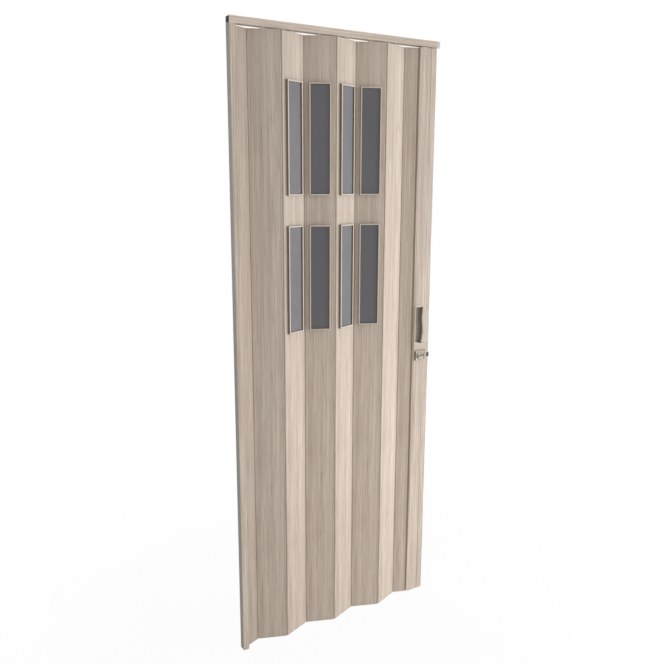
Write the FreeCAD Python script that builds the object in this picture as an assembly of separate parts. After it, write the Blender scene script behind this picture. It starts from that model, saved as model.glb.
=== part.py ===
import FreeCAD, Part
import math
import os

# Accordion door, part drawn along its track. Millimetres, +Z up.
# X runs along the track from the wall jamb to the closing post, and X = 0 is the jamb's wall face.
# Y = 0 is the middle plane of the track, and -Y is the front. Z = 0 is the jamb's foot.

door_height = 2100.0         # floor to the top of the head track

# Folding curtain
full_leaves = 6              # leaves between the two half leaves
leaf_pitch = 106.47          # hinge axis to hinge axis along a full leaf
fold_angle = 21.08           # degrees between a leaf and the track
leaf_thickness = 8.0
leaf_skin = 1.0
leaf_rib = 1.0
leaf_chambers = 4            # hollow chambers in a full leaf
leaf_edge = 10.0             # solid edge that grips the hinge strip, measured from the hinge axis
leaf_bottom = 6.0
leaf_head_gap = 4.5          # from a leaf's top to the head track
fold_gap = 0.45              # from a hinge axis to the nose of a leaf

# Flexible hinge strips
strip_thickness = 1.0
strip_grip = 9.0             # length of strip held in a leaf's edge slot, from the hinge axis
slot_end_gap = 0.5           # left beyond the strip in its slot

# Wall jamb
jamb_depth = 20.6
jamb_width = 26.4
jamb_wall = 1.5
jamb_hinge_x = 18.15
jamb_rib_length = 12.5
rib_wall = 1.2

# Head track
track_width = 27.0
track_height = 21.0
track_wall = 1.5
track_slot = 10.0
track_overhang = 8.8         # past the closing post

# Closing post and its clip-on strip
post_mouth = 0.5             # from the post's left edge to the last hinge axis
post_width = 48.0
post_depth = 20.0
post_wall = 1.6
post_web_x = 8.5             # from the last hinge axis to the inner web
post_rib_length = 6.0
post_bottom = 8.0
post_head_gap = 3.0          # from the post's top to the head track
groove = 1.2                 # shadow line between post and strip
strip_width = 24.0
tongue_length = 9.0
tongue_wall = 1.5
post_round = 1.0
strip_round = 2.4
notch_width = 5.0            # small notch at the front of the post's foot
notch_height = 6.0

# Runners in the track
runner_stem_radius = 2.0
runner_head_length = 16.0
runner_head_width = 20.0
runner_head_height = 4.0
runner_foot_length = 24.0
runner_foot_height = 1.2
runner_head_round = 3.0
post_runner_foot = 26.0

# Windows
window_leaves = (2, 3, 4, 5)   # counted from 0, the half leaf at the jamb
window_height = 357.0
window_head = 142.5          # from a leaf's top down to the upper window
window_between = 97.5        # between the two rows
window_width = 72.4
window_bar = 4.5
window_proud = 8.5           # from the leaf's face to the top of the bar
window_lip = 1.5             # the bar's front edge that the pane lies behind
window_bar_round = 1.0
pane_setback = 4.2           # from the top of the bar to the pane
pane_thickness = 2.0
pane_gap = 0.2

# Finger pulls
pull_bottom = 1003.6
pull_height = 166.4          # up to the ends of the arched top edge
pull_arch = 3.4              # rise of the arched top edge
pull_plate = 3.0
pull_side_gap = 0.4          # the plate stays inside the post's outline by this much
ear_side_gap = 2.8           # from the plate's ear to the strip's right face
ear_bottom = 1022.0          # the ear covers the closing strip from here
ear_top = 1160.0             # up to here, beside the post
ear_slant = 14.0             # lost from the ear's top and bottom at its right edge
cup_left = 7.8               # from the post's left edge
cup_right = 43.8
cup_lift = 22.4              # from the plate's lower edge
cup_height = 138.0
cup_depth = 10.5             # from the plate's face
cup_slope = 24.0             # width of the slanting part of the floor
cup_wall = 1.5
cup_gap = 0.3                # around the cup in the post's wall
cup_slant = 8.0              # rise of the cup's lower edge towards its left end
grip_wave = 6.0              # how far the grip edge bulges into the cup near its lower end

# Lock
lock_x = 28.8                # spindle axis from the post's left edge
lock_drop = 23.9             # spindle axis below the pull's lower edge
case_width = 38.0
case_height = 36.5
case_proud = 6.0
case_wall = 1.2
case_round = 2.0
spindle_radius = 3.0
spindle_gap = 0.1
cam_radius = 9.0
cam_pin_radius = 1.5
cam_pin_gap = 0.4
throw = 10.0                 # bolt travel for a quarter turn
bolt_height = 16.0
bolt_thickness = 2.7
bolt_gap = 0.3
bolt_tail = 3.0
bolt_reach = 0.3             # past the strip's right face at rest
bolt_nose_round = 1.5
guide_width = 10.5
guide_height = 34.0
guide_from_case = 2.4
guide_wall = 1.8
turn_radius = 12.0
turn_disc = 2.5
turn_bar_length = 26.0
turn_bar_width = 6.0
turn_bar_height = 5.0
turn_angle = 11.0            # degrees, the bar's slope at rest
turn_gap = 0.3
rose_radius = 15.0
rose_thickness = 2.0

# Fixing screws
screw_radius = 2.25
track_screw_end = 60.0       # from each end of the track
track_screws = 4
jamb_screw_end = 150.0       # from each end of the jamb
jamb_screws = 4
jamb_screw_offset = 6.5      # in front of the middle plane, clear of the hinge ribs

# Worked out from the values above
jamb_height = door_height - track_height
leaf_top = jamb_height - leaf_head_gap
post_top = jamb_height - post_head_gap
pull_top = pull_bottom + pull_height
cup_bottom = pull_bottom + cup_lift
cup_top = cup_bottom + cup_height
lock_z = pull_bottom - lock_drop
upper_window_bottom = leaf_top - window_head - window_height
lower_window_top = upper_window_bottom - window_between
window_rows = {
    "upper": (upper_window_bottom, upper_window_bottom + window_height),
    "lower": (lower_window_top - window_height, lower_window_top),
}
fold_radians = math.radians(fold_angle)
fold_step = leaf_pitch * math.cos(fold_radians)
fold_reach = leaf_pitch * math.sin(fold_radians)
post_hinge_x = jamb_hinge_x + (full_leaves + 1) * fold_step
post_left = post_hinge_x - post_mouth
post_right = post_left + post_width
strip_left = post_right + groove
strip_right = strip_left + strip_width
track_length = strip_right + track_overhang
track_bottom = jamb_height
post_face = post_depth / 2
post_inside = post_face - post_wall
web_left = post_hinge_x + post_web_x
web_right = web_left + post_wall


def vector(x, y, z=0.0):
    return FreeCAD.Vector(x, y, z)


def block(x, y, z):
    """A box from three pairs of limits."""
    corner = vector(x[0], y[0], z[0])
    return Part.makeBox(x[1] - x[0], y[1] - y[0], z[1] - z[0], corner)


def prism(points, z):
    """An outline in X and Y, drawn up from z[0] to z[1]."""
    corners = [vector(x, y, z[0]) for x, y in points]
    face = Part.Face(Part.makePolygon(corners + corners[:1]))
    return face.extrude(vector(0, 0, z[1] - z[0]))


def rod(radius, x, y, z):
    """A round bar along Y from y[0] to y[1]."""
    return Part.makeCylinder(radius, y[1] - y[0], vector(x, y[0], z), vector(0, 1, 0))


def fillet_along(shape, direction, radius, spots):
    """Rounds the straight edges in one direction that pass through the given points."""
    edges = []
    for edge in shape.Edges:
        if not isinstance(edge.Curve, Part.Line):
            continue
        if abs(edge.Curve.Direction.dot(direction)) < 0.999:
            continue
        if any(edge.distToShape(Part.Vertex(spot))[0] < 0.01 for spot in spots):
            edges.append(edge)
    return shape.makeFillet(radius, edges)


def spread(first, last, count):
    """Evenly spaced places from first to last."""
    return [first + (last - first) * k / (count - 1) for k in range(count)]


def mirror_back(shape):
    """The same piece on the back of the door."""
    return shape.mirror(vector(0, 0, 0), vector(0, 1, 0))


def save(name, *solids):
    shape = solids[0] if len(solids) == 1 else Part.makeCompound(list(solids))
    shape.exportStep(f"parts/{name}.step")
    volume = sum(solid.Volume for solid in solids)
    print(f"{name}: {len(shape.Solids)} solid(s), {volume / 1000:.1f} cm3, valid {shape.isValid()}")


# Hinge axes of the folding curtain, seen from above
def hinge_axes():
    axes = [(jamb_hinge_x, 0.0)]
    for k in range(full_leaves + 1):
        side = 1 if k % 2 == 0 else -1
        axes.append((jamb_hinge_x + (k + 0.5) * fold_step, side * fold_reach / 2))
    axes.append((post_hinge_x, 0.0))
    return axes


def place_on_leaf(shape, start, end):
    """Moves a shape drawn along X from a leaf's first hinge axis into the leaf's place."""
    angle = math.degrees(math.atan2(end[1] - start[1], end[0] - start[0]))
    placed = shape.copy()
    placed.rotate(vector(0, 0), vector(0, 0, 1), angle)
    placed.translate(vector(start[0], start[1]))
    return placed


def leaf_length(start, end):
    return math.hypot(end[0] - start[0], end[1] - start[1])


# A hollow leaf with round noses, slots for the hinge strips and, where asked, window openings
def leaf_solid(length, has_windows):
    nose = leaf_thickness / 2
    tall = (leaf_bottom, leaf_top)
    first = fold_gap + nose
    last = length - fold_gap - nose
    body = block((first, last), (-nose, nose), tall)
    for x in (first, last):
        body = body.fuse(Part.makeCylinder(nose, leaf_top - leaf_bottom, vector(x, 0, leaf_bottom)))
    body = body.removeSplitter()

    count = leaf_chambers if length > 0.75 * leaf_pitch else leaf_chambers // 2
    hollow = length - 2 * leaf_edge
    chamber = (hollow - (count - 1) * leaf_rib) / count
    inside = nose - leaf_skin
    for k in range(count):
        x = leaf_edge + k * (chamber + leaf_rib)
        body = body.cut(block((x, x + chamber), (-inside, inside), tall))

    slot = strip_thickness / 2
    reach = strip_grip + slot_end_gap
    body = body.cut(block((0, reach), (-slot, slot), tall))
    body = body.cut(block((length - reach, length), (-slot, slot), tall))

    if has_windows:
        middle = length / 2
        half = window_width / 2 - window_bar + window_lip
        edge = window_bar - window_lip
        across = (middle - half, middle + half)
        for low, high in window_rows.values():
            body = body.cut(block(across, (-nose, nose), (low + edge, high - edge)))
    return body


# A bent flexible strip of constant thickness along a path of three points
def strip_solid(path):
    half = strip_thickness / 2
    ends, sides = [], []
    for a, b in zip(path, path[1:]):
        length = math.hypot(b[0] - a[0], b[1] - a[1])
        ends.append(((b[0] - a[0]) / length, (b[1] - a[1]) / length))
    for dx, dy in ends:
        sides.append((-dy, dx))
    (ax, ay), (bx, by) = sides
    mitre = half / (1 + ax * bx + ay * by)
    bend = ((ax + bx) * mitre, (ay + by) * mitre)
    offsets = [(ax * half, ay * half), bend, (bx * half, by * half)]
    left = [(x + ox, y + oy) for (x, y), (ox, oy) in zip(path, offsets)]
    right = [(x - ox, y - oy) for (x, y), (ox, oy) in zip(path, offsets)]
    return prism(left + right[::-1], (leaf_bottom, leaf_top))


def towards(start, end, distance):
    length = leaf_length(start, end)
    share = distance / length
    return (start[0] + (end[0] - start[0]) * share, start[1] + (end[1] - start[1]) * share)


# One side of a window frame: a ring of raised bars, rebated behind their front edge for the pane
def window_ring(middle, low, high):
    nose = leaf_thickness / 2
    half = window_width / 2
    inner = half - window_bar
    rebate = inner + window_lip
    face = -nose - window_proud
    bars = block((middle - half, middle + half), (face, -nose), (low, high))
    outer_corners = [vector(middle + side * half, face, low) for side in (-1, 1)]
    outer_corners += [vector(middle, face, z) for z in (low, high)]
    bars = fillet_along(bars, vector(0, 0, 1), window_bar_round, outer_corners[:2])
    edge = window_bar - window_lip
    opening = block((middle - inner, middle + inner), (face, -nose), (low + window_bar, high - window_bar))
    seat = block((middle - rebate, middle + rebate), (face + pane_setback, -nose), (low + edge, high - edge))
    return bars.cut([opening, seat])


def window_pane(middle, low, high):
    half = window_width / 2 - window_bar + window_lip - pane_gap
    edge = window_bar - window_lip + pane_gap
    front = -leaf_thickness / 2 - window_proud + pane_setback
    return block((middle - half, middle + half), (front, front + pane_thickness), (low + edge, high - edge))


def build_curtain():
    axes = hinge_axes()
    last = len(axes) - 2
    for k in range(last + 1):
        start, end = axes[k], axes[k + 1]
        has_windows = k in window_leaves
        name = f"leaf_{k}"
        if k == 0:
            name = "hinge_side_half_leaf"
        if k == last:
            name = "lock_side_half_leaf"
        length = leaf_length(start, end)
        save(name, place_on_leaf(leaf_solid(length, has_windows), start, end))
        if not has_windows:
            continue
        panes = []
        for row, (low, high) in window_rows.items():
            front = window_ring(length / 2, low, high)
            rings = [place_on_leaf(ring, start, end) for ring in (front, mirror_back(front))]
            save(f"window_frame_{k}_{row}", *rings)
            pane = window_pane(length / 2, low, high)
            panes += [place_on_leaf(sheet, start, end) for sheet in (pane, mirror_back(pane))]
        save(f"window_panes_{k}", *panes)

    jamb_end = (jamb_wall + slot_end_gap, 0.0)
    save("jamb_hinge_strip", strip_solid([jamb_end, axes[0], towards(axes[0], axes[1], strip_grip)]))
    for k in range(1, last + 1):
        before = towards(axes[k], axes[k - 1], strip_grip)
        after = towards(axes[k], axes[k + 1], strip_grip)
        save(f"fold_strip_{k}", strip_solid([before, axes[k], after]))
    post_end = (web_left - slot_end_gap, 0.0)
    save("post_hinge_strip", strip_solid([towards(axes[-1], axes[-2], strip_grip), axes[-1], post_end]))


# Two thin ribs that hold the end of a hinge strip
def strip_ribs(x, z):
    slot = strip_thickness / 2
    front = block(x, (-slot - rib_wall, -slot), z)
    return front, mirror_back(front)


def build_wall_jamb():
    half = jamb_width / 2
    tall = (0.0, jamb_height)
    jamb = block((0, jamb_depth), (-half, half), tall)
    corners = [vector(jamb_depth, side * half, 0) for side in (-1, 1)]
    jamb = fillet_along(jamb, vector(0, 0, 1), jamb_wall / 2, corners)
    jamb = jamb.cut(block((jamb_wall, jamb_depth), (-half + jamb_wall, half - jamb_wall), tall))
    for rib in strip_ribs((jamb_wall, jamb_wall + jamb_rib_length), tall):
        jamb = jamb.fuse(rib)
    for z in spread(jamb_screw_end, jamb_height - jamb_screw_end, jamb_screws):
        place = vector(0, -jamb_screw_offset, z)
        jamb = jamb.cut(Part.makeCylinder(screw_radius, jamb_wall, place, vector(1, 0, 0)))
    save("wall_jamb", jamb.removeSplitter())


def build_head_track():
    half = track_width / 2
    inside = half - track_wall
    slot = track_slot / 2
    ceiling = door_height - track_wall
    long = (0.0, track_length)
    track = block(long, (-half, half), (track_bottom, door_height))
    track = track.cut(block(long, (-inside, inside), (track_bottom + track_wall, ceiling)))
    track = track.cut(block(long, (-slot, slot), (track_bottom, ceiling)))
    for x in spread(track_screw_end, track_length - track_screw_end, track_screws):
        track = track.cut(Part.makeCylinder(screw_radius, track_wall, vector(x, 0, ceiling)))
    save("head_track", track)


# A runner stands on a foot, passes the track's slot and rests its head on the two lips
def runner_solid(x, angle, seat, foot_length, foot_width):
    lip_top = track_bottom + track_wall
    foot = block((-foot_length / 2, foot_length / 2), (-foot_width / 2, foot_width / 2),
                 (seat, seat + runner_foot_height))
    foot.rotate(vector(0, 0), vector(0, 0, 1), angle)
    stem = Part.makeCylinder(runner_stem_radius, lip_top + runner_head_height - seat, vector(0, 0, seat))
    long, wide = runner_head_length / 2, runner_head_width / 2
    head = block((-long, long), (-wide, wide), (lip_top, lip_top + runner_head_height))
    corners = [vector(sx * long, sy * wide, lip_top) for sx in (-1, 1) for sy in (-1, 1)]
    head = fillet_along(head, vector(0, 0, 1), runner_head_round, corners)
    runner = foot.fuse([stem, head]).removeSplitter()
    runner.translate(vector(x, 0))
    return runner


def build_runners():
    axes = hinge_axes()
    runners = []
    for start, end in zip(axes[1:-2], axes[2:-1]):
        angle = math.degrees(math.atan2(end[1] - start[1], end[0] - start[0]))
        middle = (start[0] + end[0]) / 2
        runners.append(runner_solid(middle, angle, leaf_top, runner_foot_length, leaf_thickness))
    middle = (post_left + post_right) / 2
    runners.append(runner_solid(middle, 0.0, post_top, post_runner_foot, post_depth))
    save("runners", *runners)


def spindle_x():
    return post_left + lock_x


def cup_angle():
    """Slope of the cup's slanting floor, in radians."""
    return math.atan2(cup_depth, cup_slope)


def cup_shell_start():
    """Where the back of the slanting floor passes the post's face."""
    drop = cup_wall / math.cos(cup_angle())
    return post_left + cup_left + (pull_plate - drop) * cup_slope / cup_depth


# The opening in the post's wall for a finger cup, on the front
def cup_window():
    left = cup_shell_start() - cup_gap
    right = post_left + cup_right + cup_wall + cup_gap
    low = cup_bottom - cup_wall - cup_gap
    high = cup_top + cup_wall + cup_gap
    return block((left, right), (-post_face, -post_inside), (low, high))


def build_lead_post():
    tall = (post_bottom, post_top)
    post = block((post_left, post_right), (-post_face, post_face), tall)
    corners = [vector(post_left, side * post_face, post_bottom) for side in (-1, 1)]
    post = fillet_along(post, vector(0, 0, 1), post_round, corners)
    post = post.cut(block((post_left, web_left), (-post_inside, post_inside), tall))
    post = post.cut(block((web_right, post_right - post_wall), (-post_inside, post_inside), tall))
    for rib in strip_ribs((web_left - post_rib_length, web_left), tall):
        post = post.fuse(rib)
    tongue = block((post_right - post_wall, post_right + tongue_length),
                   (-post_inside, -post_inside + tongue_wall), tall)
    post = post.fuse([tongue, mirror_back(tongue)])
    window = cup_window()
    post = post.cut([window, mirror_back(window)])
    bore = rod(spindle_radius + spindle_gap, spindle_x(), (-post_face, post_face), lock_z)
    notch = block((post_right - notch_width, post_right), (-post_face, -post_inside),
                  (post_bottom, post_bottom + notch_height))
    post = post.cut([bore, notch])
    save("lead_post", post.removeSplitter())


def build_closing_strip():
    tall = (post_bottom, post_top)
    strip = block((strip_left, strip_right), (-post_face, post_face), tall)
    corners = [vector(strip_right, side * post_face, post_bottom) for side in (-1, 1)]
    strip = fillet_along(strip, vector(0, 0, 1), strip_round, corners)
    hollow = block((strip_left, strip_right - post_wall), (-post_inside, post_inside), tall)
    inner = strip_right - post_wall
    corners = [vector(inner, side * post_inside, post_bottom) for side in (-1, 1)]
    hollow = fillet_along(hollow, vector(0, 0, 1), strip_round - post_wall, corners)
    save("closing_strip", strip.cut(hollow))


# Finger pull: a plate on the post, with an ear over the closing strip, a slanting cup and a waved grip edge
def pull_solid():
    left = post_left + pull_side_gap
    right = post_right - pull_side_gap
    ear = strip_right - ear_side_gap
    face = -post_face - pull_plate
    corners = [
        vector(left, face, pull_top),
        vector(left, face, pull_bottom),
        vector(right, face, pull_bottom),
        vector(right, face, ear_bottom),
        vector(ear, face, ear_bottom + ear_slant),
        vector(ear, face, ear_top - ear_slant),
        vector(right, face, ear_top),
        vector(right, face, pull_top),
    ]
    crown = vector((left + right) / 2, face, pull_top + pull_arch)
    outline = [Part.LineSegment(a, b).toShape() for a, b in zip(corners, corners[1:])]
    outline.append(Part.Arc(corners[-1], crown, corners[0]).toShape())
    plate = Part.Face(Part.Wire(outline)).extrude(vector(0, pull_plate, 0))

    x0 = post_left + cup_left
    x1 = post_left + cup_right
    floor = face + cup_depth
    flat_start = x0 + cup_slope
    shell = prism([
        (cup_shell_start(), -post_face),
        (x1 + cup_wall, -post_face),
        (x1 + cup_wall, floor + cup_wall),
        (flat_start - cup_wall * math.tan(cup_angle() / 2), floor + cup_wall),
    ], (cup_bottom - cup_wall, cup_top + cup_wall))
    scoop = prism([
        (x0, face),
        (x1, face),
        (x1, floor),
        (flat_start, floor),
    ], (cup_bottom, cup_top))
    grip = grip_outline(x0, x1, face)
    return plate.fuse(shell).removeSplitter().cut(scoop.common(grip))


# The cup's outline seen from the front, with the grip edge's wave on its right
def grip_outline(x0, x1, face):
    height = cup_top - cup_bottom
    wave = [
        (x1 - 0.2 * grip_wave, cup_top),
        (x1 - 0.7 * grip_wave, cup_bottom + 0.68 * height),
        (x1 - 0.1 * grip_wave, cup_bottom + 0.42 * height),
        (x1, cup_bottom + 0.30 * height),
        (x1 - 0.45 * grip_wave, cup_bottom + 0.15 * height),
        (x1 - grip_wave, cup_bottom + 0.045 * height),
        (x1 - 0.6 * grip_wave, cup_bottom),
    ]
    points = [vector(x, face, z) for x, z in wave]
    curve = Part.BSplineCurve()
    curve.interpolate(points)
    top_left = vector(x0, face, cup_top)
    low_left = vector(x0, face, cup_bottom + cup_slant)
    edges = [
        Part.LineSegment(top_left, points[0]).toShape(),
        curve.toShape(),
        Part.LineSegment(points[-1], low_left).toShape(),
        Part.LineSegment(low_left, top_left).toShape(),
    ]
    return Part.Face(Part.Wire(edges)).extrude(vector(0, cup_depth, 0))


def build_pulls():
    front = pull_solid()
    save("finger_pull_front", front)
    save("finger_pull_back", mirror_back(front))


# Rim lock on the front: a shallow case, a guide at the edge, a flat bolt and a turn with a spindle
def bolt_limits():
    """The bolt's limits in Y and Z."""
    back = -post_face - bolt_gap
    return (back - bolt_thickness, back), (lock_z - bolt_height / 2, lock_z + bolt_height / 2)


def build_lock_case():
    x = spindle_x()
    half = case_width / 2
    z = (lock_z - case_height / 2, lock_z + case_height / 2)
    face = -post_face - case_proud
    case = block((x - half, x + half), (face, -post_face), z)
    corners = [vector(x + sx * half, face, level) for sx in (-1, 1) for level in z]
    case = fillet_along(case, vector(0, 1, 0), case_round, corners)
    case = case.cut(block((x - half + case_wall, x + half - case_wall), (face + case_wall, -post_face),
                          (z[0] + case_wall, z[1] - case_wall)))
    bolt_y, bolt_z = bolt_limits()
    mouth = block((x + half - case_wall, x + half), (bolt_y[0] - bolt_gap, -post_face),
                  (bolt_z[0] - bolt_gap, bolt_z[1] + bolt_gap))
    bore = rod(spindle_radius + spindle_gap, x, (face, face + case_wall), lock_z)
    save("lock_case", case.cut([mouth, bore]))


def build_bolt_guide():
    left = spindle_x() + case_width / 2 + guide_from_case
    face = -post_face - case_proud
    z = (lock_z - guide_height / 2, lock_z + guide_height / 2)
    guide = block((left, left + guide_width), (face, -post_face), z)
    corners = [vector(left, face, level) for level in z]
    guide = fillet_along(guide, vector(1, 0, 0), guide_wall, corners)
    bolt_y, bolt_z = bolt_limits()
    tunnel = block((left, left + guide_width), (bolt_y[0] - bolt_gap, -post_face),
                   (bolt_z[0] - bolt_gap, bolt_z[1] + bolt_gap))
    save("bolt_guide", guide.cut(tunnel))


def build_lock_bolt():
    x = spindle_x()
    bolt_y, bolt_z = bolt_limits()
    room = spindle_radius + cam_pin_gap
    tail = x - throw - room - bolt_tail
    nose = strip_right + bolt_reach
    bolt = block((tail, nose), bolt_y, bolt_z)
    corners = [vector(nose, bolt_y[0], level) for level in bolt_z]
    bolt = fillet_along(bolt, vector(0, 1, 0), bolt_nose_round, corners)
    track = block((x - throw, x), bolt_y, (lock_z - room, lock_z + room))
    ends = [rod(room, end, bolt_y, lock_z) for end in (x - throw, x)]
    pin_x = x - throw / 2
    pin_room = cam_pin_radius + cam_pin_gap
    notch = block((pin_x - pin_room, pin_x + pin_room), bolt_y, (lock_z, bolt_z[1]))
    save("lock_bolt", bolt.cut([track, notch] + ends).removeSplitter())


def turn_head(face):
    """A round turn with a raised bar, standing in front of the given face."""
    x = spindle_x()
    disc = rod(turn_radius, x, (face - turn_disc, face), lock_z)
    bar_y = (face - turn_disc - turn_bar_height, face - turn_disc)
    long, wide = turn_bar_length / 2, turn_bar_width / 2
    bar = block((x - long, x + long), bar_y, (lock_z - wide, lock_z + wide))
    corners = [vector(x + sx * long, bar_y[0], lock_z + sz * wide) for sx in (-1, 1) for sz in (-1, 1)]
    bar = fillet_along(bar, vector(0, 1, 0), wide * 0.9, corners)
    bar.rotate(vector(x, 0, lock_z), vector(0, 1, 0), -turn_angle)
    return disc.fuse(bar).removeSplitter()


def build_turns():
    x = spindle_x()
    front_face = -post_face - case_proud - turn_gap
    back_face = post_face + rose_thickness + turn_gap
    bolt_y = bolt_limits()[0]
    cam_y = (-post_face - case_proud + case_wall + turn_gap, bolt_y[0] - bolt_gap)
    head = turn_head(front_face)
    spindle = rod(spindle_radius, x, (front_face, back_face), lock_z)
    cam = rod(cam_radius, x, cam_y, lock_z)
    pin = rod(cam_pin_radius, x - throw / 2, (cam_y[1], bolt_y[1]), lock_z + throw / 2)
    save("thumb_turn_front", head.fuse([spindle, cam, pin]).removeSplitter())
    save("thumb_turn_back", mirror_back(turn_head(-back_face)))
    rose = rod(rose_radius, x, (post_face, post_face + rose_thickness), lock_z)
    save("lock_rose_back", rose.cut(rod(spindle_radius + spindle_gap, x, (0, back_face), lock_z)))


os.makedirs("parts", exist_ok=True)
build_wall_jamb()
build_head_track()
build_curtain()
build_runners()
build_lead_post()
build_closing_strip()
build_pulls()
build_lock_case()
build_bolt_guide()
build_lock_bolt()
build_turns()
print(f"overall {track_length:.1f} x {door_height:.1f} mm, fold step {fold_step:.2f} mm")
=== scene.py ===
import math

import bmesh
import bpy
from mathutils import Matrix, Vector


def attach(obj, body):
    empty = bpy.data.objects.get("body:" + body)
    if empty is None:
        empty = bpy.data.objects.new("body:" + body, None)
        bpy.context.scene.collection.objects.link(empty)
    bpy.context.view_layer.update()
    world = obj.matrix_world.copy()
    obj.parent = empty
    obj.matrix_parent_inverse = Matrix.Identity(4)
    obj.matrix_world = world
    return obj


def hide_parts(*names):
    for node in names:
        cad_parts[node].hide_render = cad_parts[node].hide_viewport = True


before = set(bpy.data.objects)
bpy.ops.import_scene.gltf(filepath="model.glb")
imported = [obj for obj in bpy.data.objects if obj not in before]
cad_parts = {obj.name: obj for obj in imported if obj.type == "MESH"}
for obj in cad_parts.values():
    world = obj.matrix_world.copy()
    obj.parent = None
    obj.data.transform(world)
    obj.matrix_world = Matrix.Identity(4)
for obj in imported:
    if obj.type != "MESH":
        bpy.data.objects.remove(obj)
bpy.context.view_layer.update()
scene = bpy.context.scene
scene.view_settings.view_transform = "Standard"
print("stage: frame loaded")

# Camera at the photograph's viewing angle
camera = {
    "place": (-0.91454, -2.12249, 1.61560),
    "turn": 31.136,      # degrees to the right of straight on
    "tilt": -11.649,
    "roll": 0.195,
    "lens": 39.265,
}


def addCamera():
    data = bpy.data.cameras.new("doorCamera")
    data.lens = camera["lens"]
    data.sensor_width = 36
    turn, tilt, roll = (math.radians(camera[key]) for key in ("turn", "tilt", "roll"))
    forward = Vector((math.sin(turn) * math.cos(tilt), math.cos(turn) * math.cos(tilt),
                      math.sin(tilt)))
    across = Vector((math.cos(turn), -math.sin(turn), 0))
    above = across.cross(forward)
    right = across * math.cos(roll) + above * math.sin(roll)
    up = above * math.cos(roll) - across * math.sin(roll)
    placed = Matrix((right, up, -forward)).transposed().to_4x4()
    placed.translation = camera["place"]
    made = bpy.data.objects.new("doorCamera", data)
    made.matrix_world = placed
    scene.collection.objects.link(made)
    scene.camera = made


addCamera()
print("stage: camera placed")


# A socket in a node tree. Sums and products of sockets add Math nodes.
class Socket:
    def __init__(self, tree, output=None):
        self.tree = tree
        self.output = output

    # Any node: its settings first, then the values or links of its sockets
    def node(self, kind, settings=None, inputs=None, output=0):
        made = self.tree.nodes.new(kind)
        for name, value in (settings or {}).items():
            if name == "stops":
                for _ in value[2:]:
                    made.color_ramp.elements.new(0.5)
                for stop, (place, level) in zip(made.color_ramp.elements, value):
                    stop.position = place
                    stop.color = (level, level, level, 1)
            else:
                setattr(made, name, value)
        for name, value in (inputs or {}).items():
            if isinstance(value, Socket):
                self.tree.links.new(value.output, made.inputs[name])
            else:
                made.inputs[name].default_value = value
        return Socket(self.tree, made.outputs[output] if len(made.outputs) else None)

    def maths(self, operation, *values):
        return self.node("ShaderNodeMath", {"operation": operation}, dict(enumerate(values)))

    def __add__(self, other):
        return self.maths("ADD", self, other)

    def __radd__(self, other):
        return self.maths("ADD", other, self)

    def __sub__(self, other):
        return self.maths("SUBTRACT", self, other)

    def __rsub__(self, other):
        return self.maths("SUBTRACT", other, self)

    def __mul__(self, other):
        return self.maths("MULTIPLY", self, other)

    def __rmul__(self, other):
        return self.maths("MULTIPLY", other, self)

    def __truediv__(self, other):
        return self.maths("DIVIDE", self, other)

    # This value from 0 to 1 mixes two colours
    def mix(self, low, high):
        colours = {0: self, 6: low, 7: high}
        return self.node("ShaderNodeMix", {"data_type": "RGBA"}, colours, 2)

    # This value through a ramp of (place, level) stops
    def ramp(self, *stops):
        return self.node("ShaderNodeValToRGB", {"stops": stops}, {"Fac": self})

    # Noise from 0 to 1 on these coordinates, with a stretch on each axis
    def noise(self, stretch, detail, roughness=0.5):
        place = self.node("ShaderNodeMapping", None, {"Vector": self, "Scale": stretch})
        inputs = {"Vector": place, "Scale": 1.0, "Detail": detail, "Roughness": roughness}
        return self.node("ShaderNodeTexNoise", None, inputs)


# An 8-bit screen colour as a linear one
def colour(red, green, blue):
    levels = [value / 255 for value in (red, green, blue)]
    return (*(v / 12.92 if v <= 0.04045 else ((v + 0.055) / 1.055) ** 2.4 for v in levels), 1.0)


# One Principled shader whose inputs the recipe works out from the object's coordinates.
# "height" is the relief in metres.
def makeMaterial(name, recipe):
    material = bpy.data.materials.new(name)
    material.use_nodes = True
    tree = material.node_tree
    tree.nodes.clear()
    point = Socket(tree).node("ShaderNodeTexCoord", output=3)
    inputs = recipe(point)
    height = inputs.pop("height", None)
    if height is not None:
        relief = {"Strength": 1.0, "Distance": 1.0, "Height": height}
        inputs["Normal"] = point.node("ShaderNodeBump", None, relief)
    shader = point.node("ShaderNodeBsdfPrincipled", None, inputs)
    point.node("ShaderNodeOutputMaterial", None, {"Surface": shader})
    return material


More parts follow.
